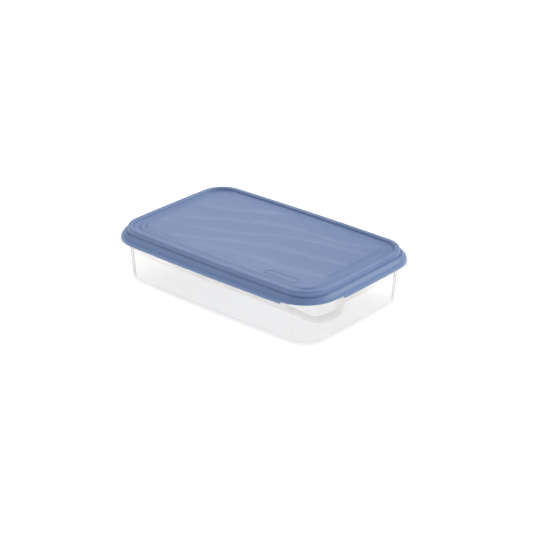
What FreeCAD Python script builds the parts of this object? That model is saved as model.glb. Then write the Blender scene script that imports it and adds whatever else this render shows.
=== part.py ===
import FreeCAD, Part
import Sketcher
import math
import os

from FreeCAD import Placement, Rotation, Vector

# A flat rectangular food container in two moulded pieces: a clear base and a lid that snaps
# over its rim.
#
# +X runs along the long sides, +Y along the short sides and +Z up. The origin is the middle of
# the base's underside. Every section is set out from one plan outline, the outside of the lid's
# skirt, and "inset" is the distance inwards from it. The outline is a rounded rectangle whose
# sides bow out a little, so it is made of large side arcs and small corner arcs, all tangent.

SIZES = {
    # plan outline of the lid's skirt
    "half_length": (113.5, "middle to the bowed short side, along X"),
    "half_width": (72.7, "middle to the bowed long side, along Y"),
    "corner_radius": (29.1, "corners of the skirt"),
    "long_bow_radius": (3150.0, "bow of the two long sides"),
    "short_bow_radius": (3200.0, "bow of the two short sides"),
    # base
    "base_wall": (1.2, "wall of the base"),
    "floor_thick": (1.4, "floor of the base"),
    "foot_inset": (10.0, "outside of the wall at the floor"),
    "neck_inset": (6.9, "outside of the wall at the flange"),
    "brim_inset": (7.4, "outside of the wall above the snap rib"),
    "foot_round": (3.0, "outside round between floor and wall"),
    "floor_inset": (17.0, "where the swept wall section meets the flat floor"),
    "inner_round": (4.0, "inside round between floor and wall"),
    "flange_top": (38.2, "top of the flange that the lid sits on"),
    "flange_thick": (1.2, "flange and its lip"),
    "flange_reach": (0.7, "how far the flange stands out past the skirt"),
    "lip_drop": (3.0, "height of the lip that hangs from the flange"),
    "rib_inset": (2.7, "outer edge of the snap rib"),
    "rib_low": (41.1, "underside of the snap rib"),
    "rib_high": (42.1, "top of the snap rib"),
    "brim_top": (48.3, "upper edge of the base"),
    "small_round": (0.4, "small rounds on edges"),
    # lid
    "skirt_low": (38.5, "lower edge of the skirt"),
    "lid_wall": (1.2, "wall of the lid"),
    "shoulder_low": (41.75, "height where the lines of skirt and sloping shoulder cross"),
    "shoulder_round": (5.0, "round from skirt to shoulder"),
    "shoulder_high": (46.8, "foot of the stacking ring, where the shoulder ends"),
    "shoulder_under": (0.5, "how far the shoulder's inner corners lie below its outer ones"),
    "ring_outer": (5.6, "foot of the stacking ring, outside"),
    "ring_inner": (10.9, "foot of the stacking ring, inside"),
    "ring_lean": (0.25, "lean of each side of the ring"),
    "ring_top": (50.2, "top of the stacking ring"),
    "ring_round": (2.3, "rounds along the top of the ring"),
    "ring_hollow": (1.0, "inside rounds of the ring"),
    "channel_high": (47.7, "floor of the channel inside the ring"),
    "panel_inset": (17.0, "edge of the middle panel"),
    "panel_high": (48.35, "top of the middle panel"),
    "panel_lap": (4.0, "how far the panel runs into the swept section"),
    "snap_reach": (1.2, "how far the snap bead stands in from the skirt"),
    "snap_low": (39.9, "lower edge of the snap bead"),
    "snap_high": (40.5, "upper edge of the snap bead"),
    "snap_slope": (0.6, "height of the bead's sloping faces"),
    # finger scoop round one corner, placed by distance along the outline from the
    # point where the corner arc starts on the long side
    "scoop_start": (-2.0, "start of the gentle ramp on the long side"),
    "scoop_floor": (34.0, "end of the gentle ramp"),
    "scoop_rise": (51.8, "start of the steep end on the short side"),
    "scoop_end": (57.5, "end of the steep end"),
    "scoop_depth": (9.3, "how far the flange dips"),
    "relief_start": (-3.4, "start of the shortened skirt"),
    "relief_end": (57.9, "end of the shortened skirt"),
    "relief_height": (2.0, "how much shorter the skirt is at the ends of the relief"),
    "relief_arch": (0.7, "further rise in the middle of the relief"),
}


def size(name):
    return SIZES[name][0]


def amount(formula):
    """Value of a sum of named sizes, such as "brim_top - base_wall"."""
    total, sign = 0.0, 1.0
    for word in formula.split():
        if word in "+-":
            sign = 1.0 if word == "+" else -1.0
        else:
            total += sign * (size(word) if word in SIZES else float(word))
    return total


def bound(formula):
    """The same sum as an expression on the sheet."""
    return " ".join("sizes." + word if word in SIZES else word for word in formula.split())


doc = FreeCAD.newDocument("food_container")
sheet = doc.addObject("Spreadsheet::Sheet", "sizes")
for row, (alias, (value, note)) in enumerate(SIZES.items(), start=1):
    sheet.set("A%d" % row, alias)
    sheet.set("B%d" % row, str(value))
    sheet.set("C%d" % row, note)
    sheet.setAlias("B%d" % row, alias)
doc.recompute()


# ---------------------------------------------------------------- plan outline

def corner_centre():
    """Centre of the corner arcs in the first quadrant: tangent inside both side arcs."""
    reach_long = size("long_bow_radius") - size("corner_radius")
    reach_short = size("short_bow_radius") - size("corner_radius")
    long_centre = Vector(0, size("half_width") - size("long_bow_radius"), 0)
    short_centre = Vector(size("half_length") - size("short_bow_radius"), 0, 0)
    across = short_centre - long_centre
    gap = across.Length
    along = (reach_long ** 2 - reach_short ** 2 + gap ** 2) / (2 * gap)
    off = math.sqrt(reach_long ** 2 - along ** 2)
    across.normalize()
    return long_centre + across * along - Vector(-across.y, across.x, 0) * off


CORNER = corner_centre()
LONG_HALF_ANGLE = math.asin(CORNER.x / (size("long_bow_radius") - size("corner_radius")))
SHORT_HALF_ANGLE = math.asin(CORNER.y / (size("short_bow_radius") - size("corner_radius")))


def outline_arcs(inset):
    """Nine arcs, anticlockwise from the middle of the -Y side: centre, radius, two angles."""
    quarter = math.pi / 2
    long_x, short_y = LONG_HALF_ANGLE, SHORT_HALF_ANGLE
    low = Vector(0, size("long_bow_radius") - size("half_width"), 0)
    left = Vector(size("short_bow_radius") - size("half_length"), 0, 0)
    long_radius = size("long_bow_radius") - inset
    short_radius = size("short_bow_radius") - inset
    corner_radius = size("corner_radius") - inset
    x, y = CORNER.x, CORNER.y
    return [
        (low, long_radius, -quarter, -quarter + long_x),
        (Vector(x, -y, 0), corner_radius, -quarter + long_x, -short_y),
        (-left, short_radius, -short_y, short_y),
        (Vector(x, y, 0), corner_radius, short_y, quarter - long_x),
        (-low, long_radius, quarter - long_x, quarter + long_x),
        (Vector(-x, y, 0), corner_radius, quarter + long_x, 2 * quarter - short_y),
        (left, short_radius, 2 * quarter - short_y, 2 * quarter + short_y),
        (Vector(-x, -y, 0), corner_radius, 2 * quarter + short_y, 3 * quarter - long_x),
        (low, long_radius, 3 * quarter - long_x, 3 * quarter),
    ]


def origin_plane(body, role):
    for feature in body.Origin.OriginFeatures:
        if feature.Role == role:
            return feature
    raise ValueError(role)


def new_sketch(body, name, role, height=None):
    sketch = body.newObject("Sketcher::SketchObject", name)
    sketch.AttachmentSupport = (origin_plane(body, role), [""])
    sketch.MapMode = "FlatFace"
    if height:
        sketch.setExpression("AttachmentOffset.Base.z", bound(height))
    return sketch


def drive(sketch, name, constraint, expression):
    """Add one dimension to a sketch and bind it to the sheet."""
    index = sketch.addConstraint(constraint)
    sketch.renameConstraint(index, name)
    sketch.setExpression("Constraints." + name, expression)


def outline_sketch(body, name, inset, height=None):
    """The plan outline at an inset, fully dimensioned from the sheet."""
    sketch = new_sketch(body, name, "XY_Plane", height)
    depth = amount(inset)
    arcs = outline_arcs(depth)
    for centre, radius, first, last in arcs:
        circle = Part.Circle(centre, Vector(0, 0, 1), radius)
        sketch.addGeometry(Part.ArcOfCircle(circle, first, last), False)
    start, end, middle = 1, 2, 3
    right, right_side, top, left_side, left = 0, 2, 4, 6, 8
    for arc in range(len(arcs) - 1):
        sketch.addConstraint(Sketcher.Constraint("Tangent", arc, end, arc + 1, start))
    sketch.addConstraint([
        Sketcher.Constraint("PointOnObject", right, start, -2),
        Sketcher.Constraint("Coincident", left, end, right, start),
        Sketcher.Constraint("Coincident", left, middle, right, middle),
        Sketcher.Constraint("PointOnObject", right, middle, -2),
        Sketcher.Constraint("PointOnObject", top, middle, -2),
        Sketcher.Constraint("PointOnObject", right_side, middle, -1),
        Sketcher.Constraint("PointOnObject", left_side, middle, -1),
        Sketcher.Constraint("Equal", right, top),
        Sketcher.Constraint("Equal", right_side, left_side),
        Sketcher.Constraint("Equal", 1, 3),
        Sketcher.Constraint("Equal", 1, 5),
        Sketcher.Constraint("Equal", 1, 7),
    ])
    long_shift = size("long_bow_radius") - size("half_width")
    short_shift = size("short_bow_radius") - size("half_length")
    for label, kind, first, second, value, formula in [
        ("low_centre", "DistanceY", (-1, 1), (right, middle), long_shift,
         "long_bow_radius - half_width"),
        ("high_centre", "DistanceY", (top, middle), (-1, 1), long_shift,
         "long_bow_radius - half_width"),
        ("right_centre", "DistanceX", (right_side, middle), (-1, 1), short_shift,
         "short_bow_radius - half_length"),
        ("left_centre", "DistanceX", (-1, 1), (left_side, middle), short_shift,
         "short_bow_radius - half_length"),
    ]:
        drive(sketch, label, Sketcher.Constraint(kind, *first, *second, value), bound(formula))
    for label, arc, full in [
        ("long_radius", right, "long_bow_radius"),
        ("short_radius", right_side, "short_bow_radius"),
        ("corner_radius", 1, "corner_radius"),
    ]:
        radius = Sketcher.Constraint("Radius", arc, size(full) - depth)
        drive(sketch, label, radius, "%s - (%s)" % (bound(full), bound(inset)))
    return sketch


# ---------------------------------------------------------------- swept sections

def section_sketch(body, name, corners):
    """A closed section in the YZ plane, on the -Y side.

    Each corner is (inset, height, round), the first two as sums of sizes and the round as a
    sum or None. Every corner has a construction point that the two lines beside it aim at.
    """
    sketch = new_sketch(body, name, "YZ_Plane")
    points, radii = [], []
    for inset, height, radius in corners:
        points.append(Vector(amount(inset) - size("half_width"), amount(height), 0))
        radii.append(amount(radius) if radius else 0.0)
    count = len(points)

    def trim(index):
        """Distance from a corner to where its round starts."""
        if not radii[index]:
            return 0.0
        ahead = points[(index + 1) % count] - points[index]
        behind = points[index - 1] - points[index]
        return radii[index] / math.tan(ahead.getAngle(behind) / 2)

    ends = []
    for index in range(count):
        after = (index + 1) % count
        run = points[after] - points[index]
        run.normalize()
        ends.append((points[index] + run * trim(index), points[after] - run * trim(after)))
    lines = [sketch.addGeometry(Part.LineSegment(*pair), False) for pair in ends]
    aims = [sketch.addGeometry(Part.Point(point), True) for point in points]
    start, end = 1, 2
    for index, (inset, height, radius) in enumerate(corners):
        before, after, aim = lines[index - 1], lines[index], aims[index]
        away = -points[index].x
        drive(sketch, "across_%d" % index,
              Sketcher.Constraint("DistanceX", aim, 1, -1, 1, away),
              "sizes.half_width - (%s)" % bound(inset))
        drive(sketch, "up_%d" % index,
              Sketcher.Constraint("DistanceY", -1, 1, aim, 1, points[index].y), bound(height))
        if not radius:
            sketch.addConstraint([Sketcher.Constraint("Coincident", before, end, aim, 1),
                                  Sketcher.Constraint("Coincident", after, start, aim, 1)])
            continue
        first, last = ends[index - 1][1], ends[index][0]
        bisector = ((first + last) * 0.5 - points[index])
        reach = math.hypot(radii[index], (first - points[index]).Length)
        bisector.normalize()
        centre = points[index] + bisector * reach
        turn = (first - centre).cross(last - centre).z
        angles = [math.atan2(p.y - centre.y, p.x - centre.x) for p in (first, last)]
        if turn < 0:
            angles.reverse()
        circle = Part.Circle(centre, Vector(0, 0, 1), radii[index])
        arc = sketch.addGeometry(Part.ArcOfCircle(circle, *angles), False)
        meets_before, meets_after = (start, end) if turn > 0 else (end, start)
        sketch.addConstraint([
            Sketcher.Constraint("PointOnObject", aim, 1, before),
            Sketcher.Constraint("PointOnObject", aim, 1, after),
            Sketcher.Constraint("Tangent", before, end, arc, meets_before),
            Sketcher.Constraint("Tangent", arc, meets_after, after, start),
        ])
        drive(sketch, "round_%d" % index,
              Sketcher.Constraint("Radius", arc, radii[index]), bound(radius))
    return sketch


def sweep(body, name, corners):
    """Carry a section all the way round the outline."""
    path = outline_sketch(body, name + "_path", "0")
    section = section_sketch(body, name + "_section", corners)
    doc.recompute()
    pipe = body.newObject("PartDesign::AdditivePipe", name)
    pipe.Profile = section
    pipe.Spine = (path, ["Edge%d" % (n + 1) for n in range(len(path.Shape.Edges))])
    pipe.Mode = "Standard"
    return pipe


def plate(body, name, inset, low, thickness):
    """A flat plate inside the outline."""
    pad = body.newObject("PartDesign::Pad", name)
    pad.Profile = outline_sketch(body, name + "_outline", inset, low)
    pad.setExpression("Length", bound(thickness))
    return pad


# ---------------------------------------------------------------- base

base = doc.addObject("PartDesign::Body", "base_shell")

sweep(base, "Tub_wall", [
    # underside and outside of the wall, up to the flange
    ("floor_inset", "0", None),
    ("foot_inset", "0", "foot_round"),
    ("neck_inset", "flange_top - flange_thick", None),
    # flange with its hanging lip
    ("0 - flange_reach + flange_thick", "flange_top - flange_thick", "small_round"),
    ("0 - flange_reach + flange_thick", "flange_top - lip_drop", None),
    ("0 - flange_reach", "flange_top - lip_drop", None),
    ("0 - flange_reach", "flange_top", "small_round"),
    ("neck_inset", "flange_top", "small_round"),
    # snap rib
    ("neck_inset", "rib_low", "small_round"),
    ("rib_inset", "rib_low", "small_round"),
    ("rib_inset", "rib_high", "small_round"),
    ("brim_inset", "rib_high", "small_round"),
    # upper edge, then down the inside to the floor
    ("brim_inset", "brim_top", "small_round"),
    ("brim_inset + base_wall", "brim_top", "small_round"),
    ("brim_inset + base_wall", "flange_top", None),
    ("foot_inset + base_wall", "floor_thick", "inner_round"),
    ("floor_inset", "floor_thick", None),
])
base.Tip = plate(base, "Floor", "floor_inset - small_round", "0", "floor_thick")


# ---------------------------------------------------------------- lid

lid = doc.addObject("PartDesign::Body", "lid_shell")

sweep(lid, "Lid_rim", [
    # outside: skirt, shoulder, stacking ring, channel, edge of the panel
    ("0", "skirt_low", None),
    ("0", "shoulder_low", "shoulder_round"),
    ("ring_outer", "shoulder_high", "small_round"),
    ("ring_outer + ring_lean", "ring_top", "ring_round"),
    ("ring_inner - ring_lean", "ring_top", "ring_round"),
    ("ring_inner", "channel_high", "small_round"),
    ("panel_inset", "channel_high", None),
    ("panel_inset", "panel_high", None),
    ("panel_inset + panel_lap", "panel_high", None),
    # underside, back out to the skirt
    ("panel_inset + panel_lap", "channel_high - lid_wall", None),
    ("ring_inner + lid_wall", "channel_high - lid_wall", "small_round"),
    ("ring_inner - ring_lean - lid_wall", "ring_top - lid_wall", "ring_hollow"),
    ("ring_outer + ring_lean + lid_wall", "ring_top - lid_wall", "ring_hollow"),
    ("ring_outer + lid_wall", "shoulder_high - shoulder_under", "small_round"),
    ("lid_wall", "shoulder_low - shoulder_under", None),
    # snap bead inside the skirt
    ("lid_wall", "snap_high + snap_slope", None),
    ("lid_wall + snap_reach", "snap_high", "small_round"),
    ("lid_wall + snap_reach", "snap_low", "small_round"),
    ("lid_wall", "snap_low - snap_slope", None),
    ("lid_wall", "skirt_low", None),
])
lid.Tip = plate(lid, "Panel", "panel_inset + panel_lap - small_round", "channel_high - lid_wall",
                "panel_high - channel_high + lid_wall")
doc.recompute()


# ---------------------------------------------------------------- finger scoop

def outline_point(distance):
    """Point and outward direction on the outline, by distance from the corner arc's start."""
    arcs = outline_arcs(0)
    corner_length = arcs[1][1] * (arcs[1][3] - arcs[1][2])
    if distance < 0:
        centre, radius, angle = arcs[0][0], arcs[0][1], arcs[0][3]
    elif distance <= corner_length:
        centre, radius, angle = arcs[1][0], arcs[1][1], arcs[1][2]
    else:
        centre, radius, angle = arcs[2][0], arcs[2][1], arcs[2][2]
        distance -= corner_length
    angle += distance / radius
    outward = Vector(math.cos(angle), math.sin(angle), 0)
    return centre + outward * radius, outward


def ease(value):
    """Smooth step from 0 to 1."""
    value = min(max(value, 0.0), 1.0)
    return value * value * (3 - 2 * value)


def scoop_dip(distance):
    ramp = (distance - size("scoop_start")) / (size("scoop_floor") - size("scoop_start"))
    rise = (size("scoop_end") - distance) / (size("scoop_end") - size("scoop_rise"))
    return size("scoop_depth") * ease(ramp) * ease(rise)


def skirt_relief(distance):
    share = (distance - size("relief_start")) / (size("relief_end") - size("relief_start"))
    return size("relief_height") + size("relief_arch") * math.sin(math.pi * share)


def corner_band(name, stations, section):
    """Loft round the corner through sections of (inset, height) points, one per station."""
    wires = []
    for distance in stations:
        point, outward = outline_point(distance)
        ring = [point - outward * inset + Vector(0, 0, height)
                for inset, height in section(distance)]
        wires.append(Part.makePolygon(ring + ring[:1]))
    feature = doc.addObject("Part::Feature", name)
    feature.Shape = Part.makeLoft(wires, True, False)
    return feature


def spaced(first, last, count):
    return [first + (last - first) * step / count for step in range(count + 1)]


SCOOP_STATIONS = (spaced(size("scoop_start"), size("scoop_rise"), 12)
                  + spaced(size("scoop_rise"), size("scoop_end"), 6)[1:])
RELIEF_STATIONS = spaced(size("relief_start"), size("relief_end"), 10)
CLEAR = 2.0           # how far the cutting shapes stand out into the air
BITE = 0.05           # how far they bite into a wall, so that no skin is left


def ledge_section(distance):
    """The dipped flange with its lip, reaching into the wall behind it."""
    top = size("flange_top") - scoop_dip(distance)
    under = top - size("flange_thick")
    out = -size("flange_reach")
    root = size("neck_inset") + size("base_wall") - BITE
    return [(out, top), (root, top), (root, under), (out + size("flange_thick"), under),
            (out + size("flange_thick"), top - size("lip_drop")), (out, top - size("lip_drop"))]


def gap_section(_distance):
    """The stretch of flange and lip that the dipped flange takes the place of."""
    low = size("flange_top") - size("lip_drop") - BITE
    high = size("flange_top") + CLEAR
    out = -size("flange_reach") - CLEAR
    wall = size("neck_inset") + BITE
    return [(out, low), (wall, low), (wall, high), (out, high)]


def relief_section(distance):
    """The air under the shortened skirt."""
    low = size("skirt_low") - CLEAR
    high = size("skirt_low") + skirt_relief(distance)
    inner = size("lid_wall") + size("snap_reach") + CLEAR
    return [(-CLEAR, low), (inner, low), (inner, high), (-CLEAR, high)]


ledge = corner_band("Scoop_ledge", SCOOP_STATIONS, ledge_section)
gap = corner_band("Flange_gap", SCOOP_STATIONS, gap_section)
relief = corner_band("Skirt_relief", RELIEF_STATIONS, relief_section)

opened = doc.addObject("Part::Cut", "Base_opened")
opened.Base = base
opened.Tool = gap

container_base = doc.addObject("Part::Fuse", "Container_base")
container_base.Base = opened
container_base.Tool = ledge
container_base.Label = "container_base"

container_lid = doc.addObject("Part::Cut", "Container_lid")
container_lid.Base = lid
container_lid.Tool = relief
container_lid.Label = "lid"
doc.recompute()


# ---------------------------------------------------------------- checks and export

for item in doc.Objects:
    if "Invalid" in item.State or "Error" in item.State:
        raise RuntimeError("%s did not build: %s" % (item.Name, item.State))

os.makedirs("parts", exist_ok=True)
for piece in (container_base, container_lid):
    shape = piece.Shape
    if shape.isNull() or not shape.isValid() or len(shape.Solids) != 1:
        raise RuntimeError(piece.Label + " is not one valid solid")
    box = shape.optimalBoundingBox()
    print("%-16s volume %9.1f mm3  x %.2f %.2f  y %.2f %.2f  z %.2f %.2f" % (
        piece.Label, shape.Volume, box.XMin, box.XMax, box.YMin, box.YMax, box.ZMin, box.ZMax))
    shape.exportStep("parts/%s.step" % piece.Label)
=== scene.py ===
import math

import bmesh
import bpy
import numpy as np
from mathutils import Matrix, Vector


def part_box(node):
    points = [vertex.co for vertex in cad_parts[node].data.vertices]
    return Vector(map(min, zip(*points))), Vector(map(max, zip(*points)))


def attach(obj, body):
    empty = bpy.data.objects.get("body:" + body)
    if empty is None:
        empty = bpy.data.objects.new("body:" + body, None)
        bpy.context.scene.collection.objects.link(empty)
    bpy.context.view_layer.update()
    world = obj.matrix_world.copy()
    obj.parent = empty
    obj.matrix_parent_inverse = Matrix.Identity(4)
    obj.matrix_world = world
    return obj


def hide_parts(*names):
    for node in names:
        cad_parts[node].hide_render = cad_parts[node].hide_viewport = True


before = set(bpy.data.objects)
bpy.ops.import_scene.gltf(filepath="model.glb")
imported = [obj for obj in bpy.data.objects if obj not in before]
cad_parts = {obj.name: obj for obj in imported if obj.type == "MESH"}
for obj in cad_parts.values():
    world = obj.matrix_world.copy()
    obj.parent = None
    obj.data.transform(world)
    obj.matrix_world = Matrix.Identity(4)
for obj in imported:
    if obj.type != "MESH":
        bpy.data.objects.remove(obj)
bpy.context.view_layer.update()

# Flat food container: a clear base and an opaque blue lid, each one moulding. Both are built as
# a section carried round one plan outline, like the CAD solids that they stand for. They have
# finer rounds, and the lid has a wave relief, a blank badge and a groove that the CAD leaves out.
#
# Lengths are in millimetres, and build_mesh turns them into metres. "inset" is the distance
# inwards from the outside of the lid's skirt. "along" runs anticlockwise round that outline from
# the start of the corner arc at +X, -Y.

MM = 0.001
lid_low, lid_high = ([value / MM for value in corner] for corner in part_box("lid"))
base_low, base_high = ([value / MM for value in corner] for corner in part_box("container_base"))

# plan outline
HALF_LENGTH, HALF_WIDTH = lid_high[0], lid_high[1]
CORNER_RADIUS = 29.1
LONG_BOW_RADIUS, SHORT_BOW_RADIUS = 3150.0, 3200.0
CORNER_STEPS, LONG_STEPS, SHORT_STEPS = 14, 100, 84
LEAST_SPACING, ROUNDING = 0.3, 1e-9

# both mouldings
WALL = 1.2
SHARP_ANGLE = 40

# base
FLOOR = 1.4
FLANGE_REACH = base_high[0] - HALF_LENGTH
BRIM_TOP = base_high[2]
FOOT_INSET, NECK_INSET, BRIM_INSET, FLOOR_INSET = 10.0, 6.9, 7.4, 17.0
FLANGE_TOP, LIP_DROP, NECK_RISE = 38.2, 3.0, 0.9
RIB_INSET, RIB_LOW, RIB_HIGH = 2.7, 41.1, 42.1

# rounds of the base's section: radius and number of steps
FOOT_ROUND, FLOOR_ROUND = (3.0, 8), (4.0, 8)
FLANGE_ROUND, LIP_ROUND = (0.4, 3), (0.25, 2)
RIB_ROUND, RIB_ROOT_ROUND, BRIM_ROUND = (0.4, 3), (0.3, 2), (0.45, 3)

# finger scoop in the base's flange, and the shortened skirt above it, as places "along"
SCOOP_START, SCOOP_FLOOR, SCOOP_RISE, SCOOP_END = -2.0, 34.0, 51.8, 57.5
SCOOP_DEPTH = 9.3
RELIEF_START, RELIEF_END = -3.4, 57.9
RELIEF_HEIGHT, RELIEF_ARCH = 2.0, 0.7
NOTCH_WIDTH = 0.15

# lid: skirt and shoulder; the bead's heights are shares of the way up inside the skirt
SKIRT_LOW, RING_TOP = lid_low[2], lid_high[2]
SKIRT_RADIUS, SKIRT_STEPS, SKIRT_END_TURN = 5.0, 12, 0.03
EDGE_RADIUS, EDGE_SHARE = 0.25, 0.3
INNER_EDGE, INNER_EDGE_HEIGHT = 0.1, 0.08
SHOULDER_LOW, SHOULDER_HIGH, SHOULDER_UNDER = 41.75, 45.75, 0.3
LEAST_SKIRT = 0.6
BEAD_REACH, BEAD_HEIGHTS = 1.2, (0.29, 0.51, 0.73, 0.945)

# lid: groove, stacking ring, channel, ramp and panel
GROOVE_OUTER, GROOVE_FLOOR, GROOVE_SLOPE = 4.5, 45.4, 0.3
RING_OUTER, RING_INNER, LEAN_OUT, LEAN_IN = 5.9, 11.8, 0.1, 1.6
CHANNEL, PANEL_TOP, PANEL_UNDER = 47.45, 48.35, 46.5
RAMP_LOW, RAMP_HIGH, SHEET_INSET = 15.6, 17.8, 20.0

# rounds of the lid's section: radius and number of steps
RAMP_ROUND, CHANNEL_ROUND = (2.0, 5), (1.5, 6)
CREST_IN_ROUND, CREST_OUT_ROUND = (2.2, 10), (2.4, 10)
GROOVE_IN_ROUND, GROOVE_OUT_ROUND, SHOULDER_ROUND = (0.7, 5), (0.3, 3), (0.5, 4)
UNDER_ROOT_ROUND, UNDER_OUT_ROUND = (0.4, 3), (1.0, 5)
UNDER_IN_ROUND, UNDER_PANEL_ROUND = (0.8, 5), (0.5, 3)

# wave relief: the plan points that the foot line of each wave passes through, the height of
# a wave, the lengths over which it rises and falls, and the round at its foot
WAVE_FEET = (
    ((-95, 18), (-74, 19), (-56, 25), (-40, 34), (-24, 43), (-8, 51)),
    ((-94, -18), (-76, -13), (-60, -4), (-42, 7), (-22, 19), (0, 27), (26, 30), (52, 31),
     (70, 34), (92, 43)),
    ((-80, -28), (-58, -24), (-40, -19), (-18, -10), (2, 3), (18, 11), (36, 18), (58, 22),
     (92, 27)),
    ((-62, -51), (-44, -42), (-24, -31), (0, -20), (22, -12), (40, -8), (56, -7), (72, -3),
     (92, 1)),
    ((-30, -49), (-8, -43), (12, -38), (34, -36), (56, -36), (74, -32), (92, -27)),
)
WAVE_RISE, WAVE_RUN, WAVE_FALL, WAVE_FOOT_ROUND = 1.35, 7.0, 16.0, 0.6
EDGE_FADE = 3.0

# blank badge: the corners of its outline, and the bead that draws it
BADGE_CORNERS = ((46.0, -51.4), (79.0, -51.4), (79.0, -43.6), (50.0, -43.6))
BADGE_CORNER_CUT, BADGE_CORNER_STEPS = 2.2, 8
BADGE_HALF_WIDTH, BADGE_HALF_HEIGHT, BADGE_SINK, BADGE_SIDES = 0.45, 0.38, 0.05, 12

# materials: each noise has a scale per metre and a level of detail
NOISE_RANGE = (0.3, 0.7)
LID_MOTTLE, LID_PATCHES, LID_GRAIN, BASE_PATCHES = (45, 3), (300, 4), (2600, 2), (120, 3)
LID_DARK, LID_LIGHT = (0.146, 0.224, 0.43, 1), (0.158, 0.239, 0.45, 1)
LID_ROUGHNESS, LID_IOR = (0.30, 0.40), 1.5
LID_GRAIN_STRENGTH, LID_GRAIN_DEPTH = 0.25, 0.00002
BASE_TINT, BASE_ROUGHNESS = (0.975, 0.97, 0.955, 1), (0.05, 0.09)
BASE_IOR, BASE_TRANSMISSION, BASE_REFRACTED_SHARE = 1.49, 0.92, 0.1
BASE_FACE_ON, BASE_EDGE_ON = (0.967, 0.965, 0.96, 1), (0.48, 0.48, 0.48, 1)
BASE_EDGE_START = 0.62

# studio: the floor, the room's glow at the horizon and overhead, and the softboxes, each with
# its place and size in metres and its power in watts
WHITE = (1, 1, 1, 1)
FLOOR_RADIUS, FLOOR_SIDES, FLOOR_GAP = 6.0, 96, 0.0003
FLOOR_GREY, FLOOR_ROUGHNESS, FLOOR_SPECULAR, FLOOR_GLOW = (0.3, 0.3, 0.3, 1), 0.9, 0.1, 0.98
ROOM_HORIZON, ROOM_OVERHEAD, ROOM_FALL_END = 0.9, 0.28, 0.6
LIGHT_TARGET = (0, 0, 0.03)
SOFTBOXES = (
    ("softbox_left", (-1.3, -0.1, 1.65), 0.9, 12),
    ("softbox_back", (-1.3, 1.25, 1.42), 0.7, 4.2),
    ("softbox_rear", (0.5, 1.25, 1.5), 1.2, 18),
    ("softbox_right", (1.7, 0.2, 1.05), 1.2, 6),
)

# camera: degrees, and millimetres
CAMERA_AZIMUTH, CAMERA_ELEVATION, CAMERA_DISTANCE = 41.16, 24.86, 1292.6
CAMERA_TARGET, LENS, SENSOR = (8.93, -4.05, 25.07), 103.9, 36.0


def ease(value):
    """Smooth step from 0 to 1."""
    value = np.clip(value, 0.0, 1.0)
    return value * value * (3 - 2 * value)


# ---------------------------------------------------------------- plan outline

def corner_centre():
    """Centre of the corner arc in the first quadrant, tangent inside both side arcs."""
    reach_long = LONG_BOW_RADIUS - CORNER_RADIUS
    reach_short = SHORT_BOW_RADIUS - CORNER_RADIUS
    long_centre = np.array([0.0, HALF_WIDTH - LONG_BOW_RADIUS])
    short_centre = np.array([HALF_LENGTH - SHORT_BOW_RADIUS, 0.0])
    across = short_centre - long_centre
    gap = np.linalg.norm(across)
    across /= gap
    step = (reach_long ** 2 - reach_short ** 2 + gap ** 2) / (2 * gap)
    rise = math.sqrt(reach_long ** 2 - step ** 2)
    return long_centre + across * step + np.array([across[1], -across[0]]) * rise


CENTRE_X, CENTRE_Y = corner_centre()
LONG_HALF = math.asin(CENTRE_X / (LONG_BOW_RADIUS - CORNER_RADIUS))
SHORT_HALF = math.asin(CENTRE_Y / (SHORT_BOW_RADIUS - CORNER_RADIUS))
CORNER_HALF = (math.pi / 2 - LONG_HALF - SHORT_HALF) / 2
CORNER_LENGTH = CORNER_RADIUS * CORNER_HALF * 2
LONG_LENGTH = CORNER_LENGTH + LONG_BOW_RADIUS * LONG_HALF * 2
SHORT_LENGTH = CORNER_LENGTH + SHORT_BOW_RADIUS * SHORT_HALF * 2


def side_arcs(short):
    """Arcs from one corner's middle to the next, on the +X side or the -Y side."""
    if short:
        turn, half, bow = 0.0, SHORT_HALF, SHORT_BOW_RADIUS
        centre = (HALF_LENGTH - SHORT_BOW_RADIUS, 0.0)
        first, last = (CENTRE_X, -CENTRE_Y), (CENTRE_X, CENTRE_Y)
    else:
        turn, half, bow = -math.pi / 2, LONG_HALF, LONG_BOW_RADIUS
        centre = (0.0, LONG_BOW_RADIUS - HALF_WIDTH)
        first, last = (-CENTRE_X, -CENTRE_Y), (CENTRE_X, -CENTRE_Y)
    return [
        (first, CORNER_RADIUS, turn - half - CORNER_HALF, turn - half),
        (centre, bow, turn - half, turn + half),
        (last, CORNER_RADIUS, turn + half, turn + half + CORNER_HALF),
    ]


def side_marks(short, notch):
    """Distances of the stations along one side, with a close pair where the skirt steps."""
    marks = [0.0]
    counts = (CORNER_STEPS, SHORT_STEPS if short else LONG_STEPS, CORNER_STEPS)
    for (_, radius, first, last), count in zip(side_arcs(short), counts):
        length = radius * (last - first)
        marks += [marks[-1] + length * step / count for step in range(1, count + 1)]
    pair = [notch - NOTCH_WIDTH / 2, notch + NOTCH_WIDTH / 2]
    clear = [mark for mark in marks
             if min(abs(mark - pair[0]), abs(mark - pair[1])) > LEAST_SPACING]
    return np.array(sorted(clear + pair))


long_marks = side_marks(False, LONG_LENGTH - CORNER_LENGTH / 2 + RELIEF_START)
short_marks = side_marks(True, RELIEF_END - CORNER_LENGTH / 2)
ACROSS, UP = len(long_marks) - 1, len(short_marks) - 1


def stations_on(short, marks, turned):
    """Rows of centre x, centre y, radius and angle, one for each mark along a side."""
    rows = []
    for mark in marks:
        for (x, y), radius, first, last in side_arcs(short):
            length = radius * (last - first)
            if mark <= length + ROUNDING:
                break
            mark -= length
        if turned:
            rows.append((-x, -y, radius, first + mark / radius + math.pi))
        else:
            rows.append((x, y, radius, first + mark / radius))
    return rows


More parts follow.
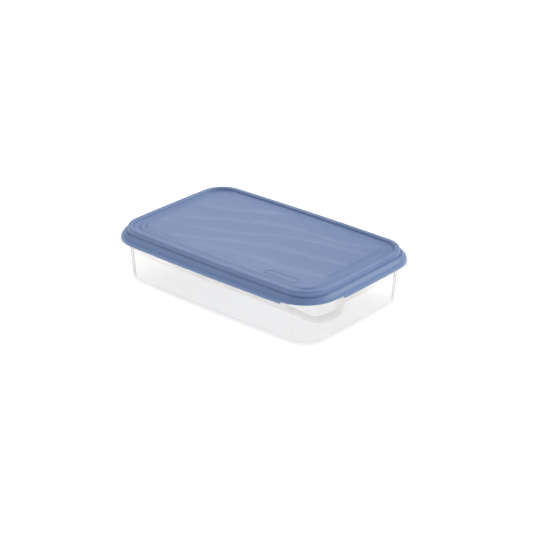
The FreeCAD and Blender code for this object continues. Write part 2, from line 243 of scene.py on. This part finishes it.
def all_stations():
    """Centres, radii, outward directions and distances of the stations, anticlockwise from
    the middle of the corner at -X, -Y."""
    sides = (
        (False, long_marks, False),
        (True, short_marks, False),
        (False, LONG_LENGTH - long_marks[::-1], True),
        (True, SHORT_LENGTH - short_marks[::-1], True),
    )
    rows, distances = [], []
    travelled = CORNER_LENGTH / 2 - LONG_LENGTH
    for short, marks, turned in sides:
        rows += stations_on(short, marks[:-1], turned)
        distances += list(travelled + marks[:-1])
        travelled += marks[-1]
    centres = np.array([row[:2] for row in rows])
    radii = np.array([row[2] for row in rows])
    outward = np.array([(math.cos(row[3]), math.sin(row[3])) for row in rows])
    return centres, radii, outward, np.array(distances)


CENTRES, RADII, OUTWARD, ALONG = all_stations()
COUNT = len(ALONG)


def inset_of(x, y):
    """Inset of a plan point inside the outline."""
    x, y = np.abs(x), np.abs(y)
    from_long = LONG_BOW_RADIUS - np.hypot(x, y + LONG_BOW_RADIUS - HALF_WIDTH)
    from_short = SHORT_BOW_RADIUS - np.hypot(x + SHORT_BOW_RADIUS - HALF_LENGTH, y)
    from_corner = CORNER_RADIUS - np.hypot(x - CENTRE_X, y - CENTRE_Y)
    in_corner = (x > CENTRE_X) & (y > CENTRE_Y)
    return np.where(in_corner, from_corner, np.minimum(from_long, from_short))


# ---------------------------------------------------------------- meshes

def rounded(corners):
    """Points along an open section. A corner is (inset, height) or, where it has a round,
    (inset, height, radius, steps)."""
    spots = [np.array(corner[:2], float) for corner in corners]
    points = []
    for index, corner in enumerate(corners):
        if len(corner) == 2:
            points.append(spots[index])
            continue
        radius, steps = corner[2:]
        back = spots[index - 1] - spots[index]
        ahead = spots[index + 1] - spots[index]
        back /= np.linalg.norm(back)
        ahead /= np.linalg.norm(ahead)
        half = math.acos(float(np.clip(back @ ahead, -1, 1))) / 2
        bisector = (back + ahead) / np.linalg.norm(back + ahead)
        centre = spots[index] + bisector * radius / math.sin(half)
        first = spots[index] + back * radius / math.tan(half) - centre
        last = spots[index] + ahead * radius / math.tan(half) - centre
        turn = math.pi - 2 * half
        for step in range(steps + 1):
            share = step / steps
            points.append(centre + (math.sin((1 - share) * turn) * first
                                    + math.sin(share * turn) * last) / math.sin(turn))
    return points


def swept(section):
    """Vertices and faces of a band round the outline; section(along) gives its points."""
    sections = np.array([rounded(section(along)) for along in ALONG])
    width = sections.shape[1]
    plan = CENTRES[:, None] + OUTWARD[:, None] * (RADII[:, None] - sections[:, :, 0])[..., None]
    vertices = np.concatenate([plan, sections[:, :, 1:]], axis=2).reshape(-1, 3)
    faces = []
    for station in range(COUNT):
        here, there = station * width, (station + 1) % COUNT * width
        faces += [(here + k, there + k, there + k + 1, here + k + 1) for k in range(width - 1)]
    return vertices, faces, width


def sheet_inside(vertices, border, height):
    """Grid of vertices filling the ring of vertex numbers in border. height(x, y) gives z."""
    edge = vertices[border][:, :2]
    bottom, right = edge[:ACROSS + 1], edge[ACROSS:ACROSS + UP + 1]
    top = edge[ACROSS + UP:2 * ACROSS + UP + 1][::-1]
    left = np.concatenate([edge[2 * ACROSS + UP:], edge[:1]])[::-1]
    u = (long_marks / long_marks[-1])[:, None, None]
    v = (short_marks / short_marks[-1])[None, :, None]
    plan = ((1 - v) * bottom[:, None] + v * top[:, None]
            + (1 - u) * left[None] + u * right[None]
            - (1 - u) * (1 - v) * bottom[0] - u * (1 - v) * bottom[-1]
            - (1 - u) * v * top[0] - u * v * top[-1])
    number = np.zeros((ACROSS + 1, UP + 1), int)
    number[:, 0] = border[:ACROSS + 1]
    number[-1, :] = border[ACROSS:ACROSS + UP + 1]
    number[:, -1] = border[ACROSS + UP:2 * ACROSS + UP + 1][::-1]
    number[0, :] = np.concatenate([border[2 * ACROSS + UP:], border[:1]])[::-1]
    inner = plan[1:-1, 1:-1].reshape(-1, 2)
    number[1:-1, 1:-1] = len(vertices) + np.arange(len(inner)).reshape(ACROSS - 1, UP - 1)
    heights = height(inner[:, 0], inner[:, 1])
    vertices = np.concatenate([vertices, np.column_stack([inner, heights])])
    faces = [tuple(number[[i, i + 1, i + 1, i], [j, j, j + 1, j + 1]])
             for i in range(ACROSS) for j in range(UP)]
    return vertices, faces


def closed_shell(section, first_height, last_height):
    """A swept band, closed by a sheet inside its first and its last ring."""
    vertices, faces, width = swept(section)
    first = np.arange(COUNT) * width
    last = first + width - 1
    vertices, more = sheet_inside(vertices, first, first_height)
    faces += more
    vertices, more = sheet_inside(vertices, last, last_height)
    return vertices, faces + more


def flat(height):
    """A sheet height that is the same everywhere."""
    return lambda x, y: np.full(len(x), height)


def build_mesh(name, shells):
    """One object from closed shells of (vertices, faces), smooth except at real edges."""
    vertices, faces = [], []
    for shell_vertices, shell_faces in shells:
        faces += [tuple(int(number) + len(vertices) for number in face) for face in shell_faces]
        vertices += [tuple(point) for point in np.asarray(shell_vertices) * MM]
    mesh = bpy.data.meshes.new(name)
    mesh.from_pydata(vertices, [], faces)
    work = bmesh.new()
    work.from_mesh(mesh)
    bmesh.ops.recalc_face_normals(work, faces=work.faces)
    work.to_mesh(mesh)
    work.free()
    mesh.shade_smooth()
    mesh.set_sharp_from_angle(angle=math.radians(SHARP_ANGLE))
    piece = bpy.data.objects.new(name, mesh)
    bpy.context.scene.collection.objects.link(piece)
    weighted = piece.modifiers.new("even_shading", "WEIGHTED_NORMAL")
    weighted.keep_sharp = True
    return piece


# ---------------------------------------------------------------- base

def scoop_dip(along):
    """How far the flange dips into the finger scoop."""
    ramp = (along - SCOOP_START) / (SCOOP_FLOOR - SCOOP_START)
    rise = (SCOOP_END - along) / (SCOOP_END - SCOOP_RISE)
    return SCOOP_DEPTH * ease(ramp) * ease(rise)


def base_section(along):
    """From the underside out and up over the flange and rib, and down the inside."""
    top = FLANGE_TOP - scoop_dip(along)
    under = top - WALL
    draft_end = FLANGE_TOP - WALL

    def wall_at(height):
        return FOOT_INSET + (NECK_INSET - FOOT_INSET) * min(height / draft_end, 1.0)

    lip_out, lip_in = -FLANGE_REACH, WALL - FLANGE_REACH
    return [
        (FLOOR_INSET, 0.0),
        (FOOT_INSET, 0.0, *FOOT_ROUND),
        (wall_at(under), under, *FLANGE_ROUND),
        (lip_in, under, *FLANGE_ROUND),
        (lip_in, top - LIP_DROP, *LIP_ROUND),
        (lip_out, top - LIP_DROP, *LIP_ROUND),
        (lip_out, top, *FLANGE_ROUND),
        (wall_at(top), top, *FLANGE_ROUND),
        (NECK_INSET, max(draft_end, top + NECK_RISE)),
        (NECK_INSET, RIB_LOW, *RIB_ROOT_ROUND),
        (RIB_INSET, RIB_LOW, *RIB_ROUND),
        (RIB_INSET, RIB_HIGH, *RIB_ROUND),
        (BRIM_INSET, RIB_HIGH, *RIB_ROOT_ROUND),
        (BRIM_INSET, BRIM_TOP, *BRIM_ROUND),
        (BRIM_INSET + WALL, BRIM_TOP, *BRIM_ROUND),
        (BRIM_INSET + WALL, FLANGE_TOP),
        (FOOT_INSET + WALL, FLOOR, *FLOOR_ROUND),
        (FLOOR_INSET, FLOOR),
    ]


def make_base():
    return build_mesh("clear_base", [closed_shell(base_section, flat(0.0), flat(FLOOR))])


# ---------------------------------------------------------------- lid

def skirt_relief(along):
    """How much shorter the skirt is above the finger scoop."""
    if not RELIEF_START < along < RELIEF_END:
        return 0.0
    share = (along - RELIEF_START) / (RELIEF_END - RELIEF_START)
    return RELIEF_HEIGHT + RELIEF_ARCH * math.sin(math.pi * share)


def skirt_outside(low):
    """Points down the outside of the skirt, from the sloping shoulder to an edge at low."""
    slope = math.atan2(SHOULDER_HIGH - SHOULDER_LOW, GROOVE_OUTER)
    middle = SHOULDER_LOW - SKIRT_RADIUS / math.tan((math.pi / 2 + slope) / 2)
    first = math.pi / 2 - slope
    last = math.asin(max(low + EDGE_RADIUS - middle, 0) / SKIRT_RADIUS)
    turns = [first + (last + SKIRT_END_TURN - first) * step / SKIRT_STEPS
             for step in range(SKIRT_STEPS + 1)]
    points = [(SKIRT_RADIUS * (1 - math.cos(turn)), middle + SKIRT_RADIUS * math.sin(turn))
              for turn in turns]
    inset = SKIRT_RADIUS * (1 - math.cos(last))
    return points + [
        (inset, low + EDGE_RADIUS),
        (inset + EDGE_SHARE * EDGE_RADIUS, low + EDGE_SHARE * EDGE_RADIUS),
        (inset + EDGE_RADIUS, low),
    ]


def lid_section(along):
    """From the panel out over the ring to the skirt, and back along the inside."""
    relief = skirt_relief(along)
    low = SKIRT_LOW + relief
    under = max(SHOULDER_LOW - SHOULDER_UNDER, low + LEAST_SKIRT)
    reach = 0.0 if relief else BEAD_REACH
    bead = [low + share * (under - low) for share in BEAD_HEIGHTS]
    return [
        (SHEET_INSET, PANEL_TOP),
        (RAMP_HIGH, PANEL_TOP, *RAMP_ROUND),
        (RAMP_LOW, CHANNEL, *RAMP_ROUND),
        (RING_INNER, CHANNEL, *CHANNEL_ROUND),
        (RING_INNER - LEAN_IN, RING_TOP, *CREST_IN_ROUND),
        (RING_OUTER + LEAN_OUT, RING_TOP, *CREST_OUT_ROUND),
        (RING_OUTER, GROOVE_FLOOR, *GROOVE_IN_ROUND),
        (GROOVE_OUTER + GROOVE_SLOPE, GROOVE_FLOOR, *GROOVE_OUT_ROUND),
        (GROOVE_OUTER, SHOULDER_HIGH, *SHOULDER_ROUND),
        *skirt_outside(low),
        (WALL - INNER_EDGE, low),
        (WALL, low + INNER_EDGE_HEIGHT),
        (WALL, bead[0]),
        (WALL + reach, bead[1]),
        (WALL + reach, bead[2]),
        (WALL, bead[3]),
        (WALL, under),
        (RING_OUTER + WALL, SHOULDER_HIGH - SHOULDER_UNDER, *UNDER_ROOT_ROUND),
        (RING_OUTER + LEAN_OUT + WALL, RING_TOP - WALL, *UNDER_OUT_ROUND),
        (RING_INNER - LEAN_IN - WALL / 2, RING_TOP - WALL, *UNDER_IN_ROUND),
        (RING_INNER - WALL / 2, PANEL_UNDER, *UNDER_PANEL_ROUND),
        (SHEET_INSET, PANEL_UNDER),
    ]


def smooth_line(points, x):
    """Height and slope at x of a cubic line through points, straight beyond its ends."""
    xs, ys = np.array(points, float).T
    slopes = np.gradient(ys, xs)
    start = np.clip(np.searchsorted(xs, x) - 1, 0, len(xs) - 2)
    span = xs[start + 1] - xs[start]
    t = np.clip((x - xs[start]) / span, 0, 1)
    beyond = x - xs[start] - t * span
    low, high = ys[start], ys[start + 1]
    low_slope, high_slope = slopes[start] * span, slopes[start + 1] * span
    y = (low * (2 * t ** 3 - 3 * t ** 2 + 1) + low_slope * (t ** 3 - 2 * t ** 2 + t)
         + high * (3 * t ** 2 - 2 * t ** 3) + high_slope * (t ** 3 - t ** 2))
    slope = (low * (6 * t ** 2 - 6 * t) + low_slope * (3 * t ** 2 - 4 * t + 1)
             + high * (6 * t - 6 * t ** 2) + high_slope * (3 * t ** 2 - 2 * t)) / span
    return y + beyond * slope, slope


def panel_height(x, y):
    """The panel's wave relief: behind each line the surface rises from a crisp foot, steeply
    first and then less and less, and sinks back before the next line."""
    rise = np.zeros(len(x))
    for foot in WAVE_FEET:
        line, slope = smooth_line(foot, x)
        past = (y - line) / np.sqrt(1 + slope ** 2)
        past = (past + np.sqrt(past ** 2 + WAVE_FOOT_ROUND ** 2)) / 2
        rise += WAVE_RISE * (1 - np.exp(-past / WAVE_RUN)) * np.exp(-past / WAVE_FALL)
    edge = ease((inset_of(x, y) - SHEET_INSET) / EDGE_FADE)
    return PANEL_TOP + rise * edge


def badge_path():
    """Points round the badge: a rounded outline with one slanted end."""
    corners = [np.array(corner, float) for corner in BADGE_CORNERS]
    path = []
    for index, spot in enumerate(corners):
        before, after = corners[index - 1], corners[(index + 1) % len(corners)]
        start = spot + (before - spot) / np.linalg.norm(before - spot) * BADGE_CORNER_CUT
        end = spot + (after - spot) / np.linalg.norm(after - spot) * BADGE_CORNER_CUT
        for step in range(BADGE_CORNER_STEPS + 1):
            t = step / BADGE_CORNER_STEPS
            path.append((1 - t) ** 2 * start + 2 * t * (1 - t) * spot + t * t * end)
    return np.array(path)


def badge_bead():
    """Closed tube along the badge's outline, half sunk into the panel."""
    path = badge_path()
    heading = np.roll(path, -1, axis=0) - np.roll(path, 1, axis=0)
    heading /= np.linalg.norm(heading, axis=1)[:, None]
    outward = np.column_stack([heading[:, 1], -heading[:, 0]])
    middle = PANEL_TOP - BADGE_SINK
    vertices = []
    for spot, out in zip(path, outward):
        for k in range(BADGE_SIDES):
            angle = 2 * math.pi * k / BADGE_SIDES
            plan = spot + out * BADGE_HALF_WIDTH * math.cos(angle)
            vertices.append((plan[0], plan[1], middle + BADGE_HALF_HEIGHT * math.sin(angle)))
    faces = []
    for i in range(len(path)):
        here, there = i * BADGE_SIDES, (i + 1) % len(path) * BADGE_SIDES
        for k in range(BADGE_SIDES):
            after = (k + 1) % BADGE_SIDES
            faces.append((here + k, there + k, there + after, here + after))
    return np.array(vertices), faces


def make_lid():
    shell = closed_shell(lid_section, panel_height, flat(PANEL_UNDER))
    return build_mesh("lid_moulding", [shell, badge_bead()])


# ---------------------------------------------------------------- materials

def new_material(name):
    """A node material, with its nodes, links and Principled shader."""
    material = bpy.data.materials.new(name)
    material.use_nodes = True
    nodes = material.node_tree.nodes
    return material, nodes, material.node_tree.links, nodes["Principled BSDF"]


def noise(nodes, links, kind):
    """3-D noise over the object's own coordinates; kind is its scale and detail."""
    place = nodes.new("ShaderNodeTexCoord")
    texture = nodes.new("ShaderNodeTexNoise")
    texture.inputs["Scale"].default_value, texture.inputs["Detail"].default_value = kind
    links.new(place.outputs["Object"], texture.inputs["Vector"])
    return texture.outputs["Fac"]


def spread(nodes, links, source, limits):
    """The usual range of a noise value, spread over limits."""
    span = nodes.new("ShaderNodeMapRange")
    span.inputs["From Min"].default_value, span.inputs["From Max"].default_value = NOISE_RANGE
    span.inputs["To Min"].default_value, span.inputs["To Max"].default_value = limits
    links.new(source, span.inputs["Value"])
    return span.outputs["Result"]


def blend_colours(nodes, links, source, stops):
    """A colour ramp over source, with a (position, colour) for each of its two ends."""
    ramp = nodes.new("ShaderNodeValToRGB")
    for element, (position, colour) in zip(ramp.color_ramp.elements, stops):
        element.position = position
        element.color = colour
    links.new(source, ramp.inputs["Fac"])
    return ramp


def blue_lid():
    """Opaque satin polyolefin: fine moulded grain, faint flow mottling."""
    material, nodes, links, plastic = new_material("blue_lid")
    mottle = noise(nodes, links, LID_MOTTLE)
    colour = blend_colours(nodes, links, mottle, zip(NOISE_RANGE, (LID_DARK, LID_LIGHT)))
    links.new(colour.outputs["Color"], plastic.inputs["Base Color"])
    patches = noise(nodes, links, LID_PATCHES)
    links.new(spread(nodes, links, patches, LID_ROUGHNESS), plastic.inputs["Roughness"])
    bump = nodes.new("ShaderNodeBump")
    bump.inputs["Strength"].default_value = LID_GRAIN_STRENGTH
    bump.inputs["Distance"].default_value = LID_GRAIN_DEPTH
    links.new(noise(nodes, links, LID_GRAIN), bump.inputs["Height"])
    links.new(bump.outputs["Normal"], plastic.inputs["Normal"])
    plastic.inputs["IOR"].default_value = LID_IOR
    return material


def clear_base():
    """Clear polypropylene: most light goes straight through, less where a surface is seen
    edge-on, and the rest is refracted and faintly milky."""
    material, nodes, links, plastic = new_material("clear_base")
    plastic.inputs["Base Color"].default_value = BASE_TINT
    plastic.inputs["IOR"].default_value = BASE_IOR
    patches = noise(nodes, links, BASE_PATCHES)
    links.new(spread(nodes, links, patches, BASE_ROUGHNESS), plastic.inputs["Roughness"])
    plastic.inputs["Transmission Weight"].default_value = BASE_TRANSMISSION
    facing = nodes.new("ShaderNodeLayerWeight")
    stops = ((BASE_EDGE_START, BASE_FACE_ON), (1.0, BASE_EDGE_ON))
    edge = blend_colours(nodes, links, facing.outputs["Facing"], stops)
    edge.color_ramp.interpolation = "EASE"
    through = nodes.new("ShaderNodeBsdfTransparent")
    links.new(edge.outputs["Color"], through.inputs["Color"])
    mix = nodes.new("ShaderNodeMixShader")
    mix.inputs["Fac"].default_value = BASE_REFRACTED_SHARE
    links.new(through.outputs["BSDF"], mix.inputs[1])
    links.new(plastic.outputs["BSDF"], mix.inputs[2])
    links.new(mix.outputs["Shader"], nodes["Material Output"].inputs["Surface"])
    return material


# ---------------------------------------------------------------- scene

def add_softbox(name, place, size, power):
    """A square area light aimed at the box, not seen by the camera itself."""
    light = bpy.data.lights.new(name, "AREA")
    light.shape = "RECTANGLE"
    light.size = light.size_y = size
    light.energy = power
    lamp = bpy.data.objects.new(name, light)
    lamp.location = place
    aim = Vector(LIGHT_TARGET) - Vector(place)
    lamp.rotation_euler = aim.to_track_quat("-Z", "Y").to_euler()
    lamp.visible_camera = False
    bpy.context.scene.collection.objects.link(lamp)


def add_room():
    """An even pale room, brightest low down."""
    world = bpy.data.worlds.new("studio")
    bpy.context.scene.world = world
    world.use_nodes = True
    nodes, links = world.node_tree.nodes, world.node_tree.links
    direction = nodes.new("ShaderNodeTexCoord")
    parts = nodes.new("ShaderNodeSeparateXYZ")
    links.new(direction.outputs["Generated"], parts.inputs["Vector"])
    fall = nodes.new("ShaderNodeMapRange")
    fall.interpolation_type = "SMOOTHSTEP"
    fall.inputs["From Min"].default_value = 0.0
    fall.inputs["From Max"].default_value = ROOM_FALL_END
    fall.inputs["To Min"].default_value = ROOM_HORIZON
    fall.inputs["To Max"].default_value = ROOM_OVERHEAD
    links.new(parts.outputs["Z"], fall.inputs["Value"])
    nodes["Background"].inputs["Color"].default_value = WHITE
    links.new(fall.outputs["Result"], nodes["Background"].inputs["Strength"])


def add_floor():
    """A pale disc, lit a little from within like a studio table."""
    mesh = bpy.data.meshes.new("floor")
    turns = [2 * math.pi * k / FLOOR_SIDES for k in range(FLOOR_SIDES)]
    rim = [(FLOOR_RADIUS * math.cos(turn), FLOOR_RADIUS * math.sin(turn), 0.0) for turn in turns]
    mesh.from_pydata(rim, [], [tuple(range(FLOOR_SIDES))])
    floor = bpy.data.objects.new("floor", mesh)
    floor.location.z = base_low[2] * MM - FLOOR_GAP
    bpy.context.scene.collection.objects.link(floor)
    material, _, _, plastic = new_material("pale_floor")
    plastic.inputs["Base Color"].default_value = FLOOR_GREY
    plastic.inputs["Roughness"].default_value = FLOOR_ROUGHNESS
    plastic.inputs["Specular IOR Level"].default_value = FLOOR_SPECULAR
    plastic.inputs["Emission Color"].default_value = WHITE
    plastic.inputs["Emission Strength"].default_value = FLOOR_GLOW
    mesh.materials.append(material)


def add_camera():
    """The main view: the -Y side and the scooped end, from a little above."""
    azimuth, elevation = math.radians(CAMERA_AZIMUTH), math.radians(CAMERA_ELEVATION)
    back = Vector((math.sin(azimuth) * math.cos(elevation),
                   -math.cos(azimuth) * math.cos(elevation), math.sin(elevation)))
    lens = bpy.data.cameras.new("camera")
    lens.lens, lens.sensor_width = LENS, SENSOR
    camera = bpy.data.objects.new("camera", lens)
    camera.location = Vector(CAMERA_TARGET) * MM + back * CAMERA_DISTANCE * MM
    camera.rotation_euler = back.to_track_quat("Z", "Y").to_euler()
    bpy.context.scene.collection.objects.link(camera)
    bpy.context.scene.camera = camera


base = make_base()
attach(base, "base")
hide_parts("container_base")
base.data.materials.append(clear_base())

lid = make_lid()
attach(lid, "lid")
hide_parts("lid")
lid.data.materials.append(blue_lid())

add_floor()
add_camera()
add_room()
for name, place, size, power in SOFTBOXES:
    add_softbox(name, place, size, power)
bpy.context.scene.view_settings.view_transform = "Standard"
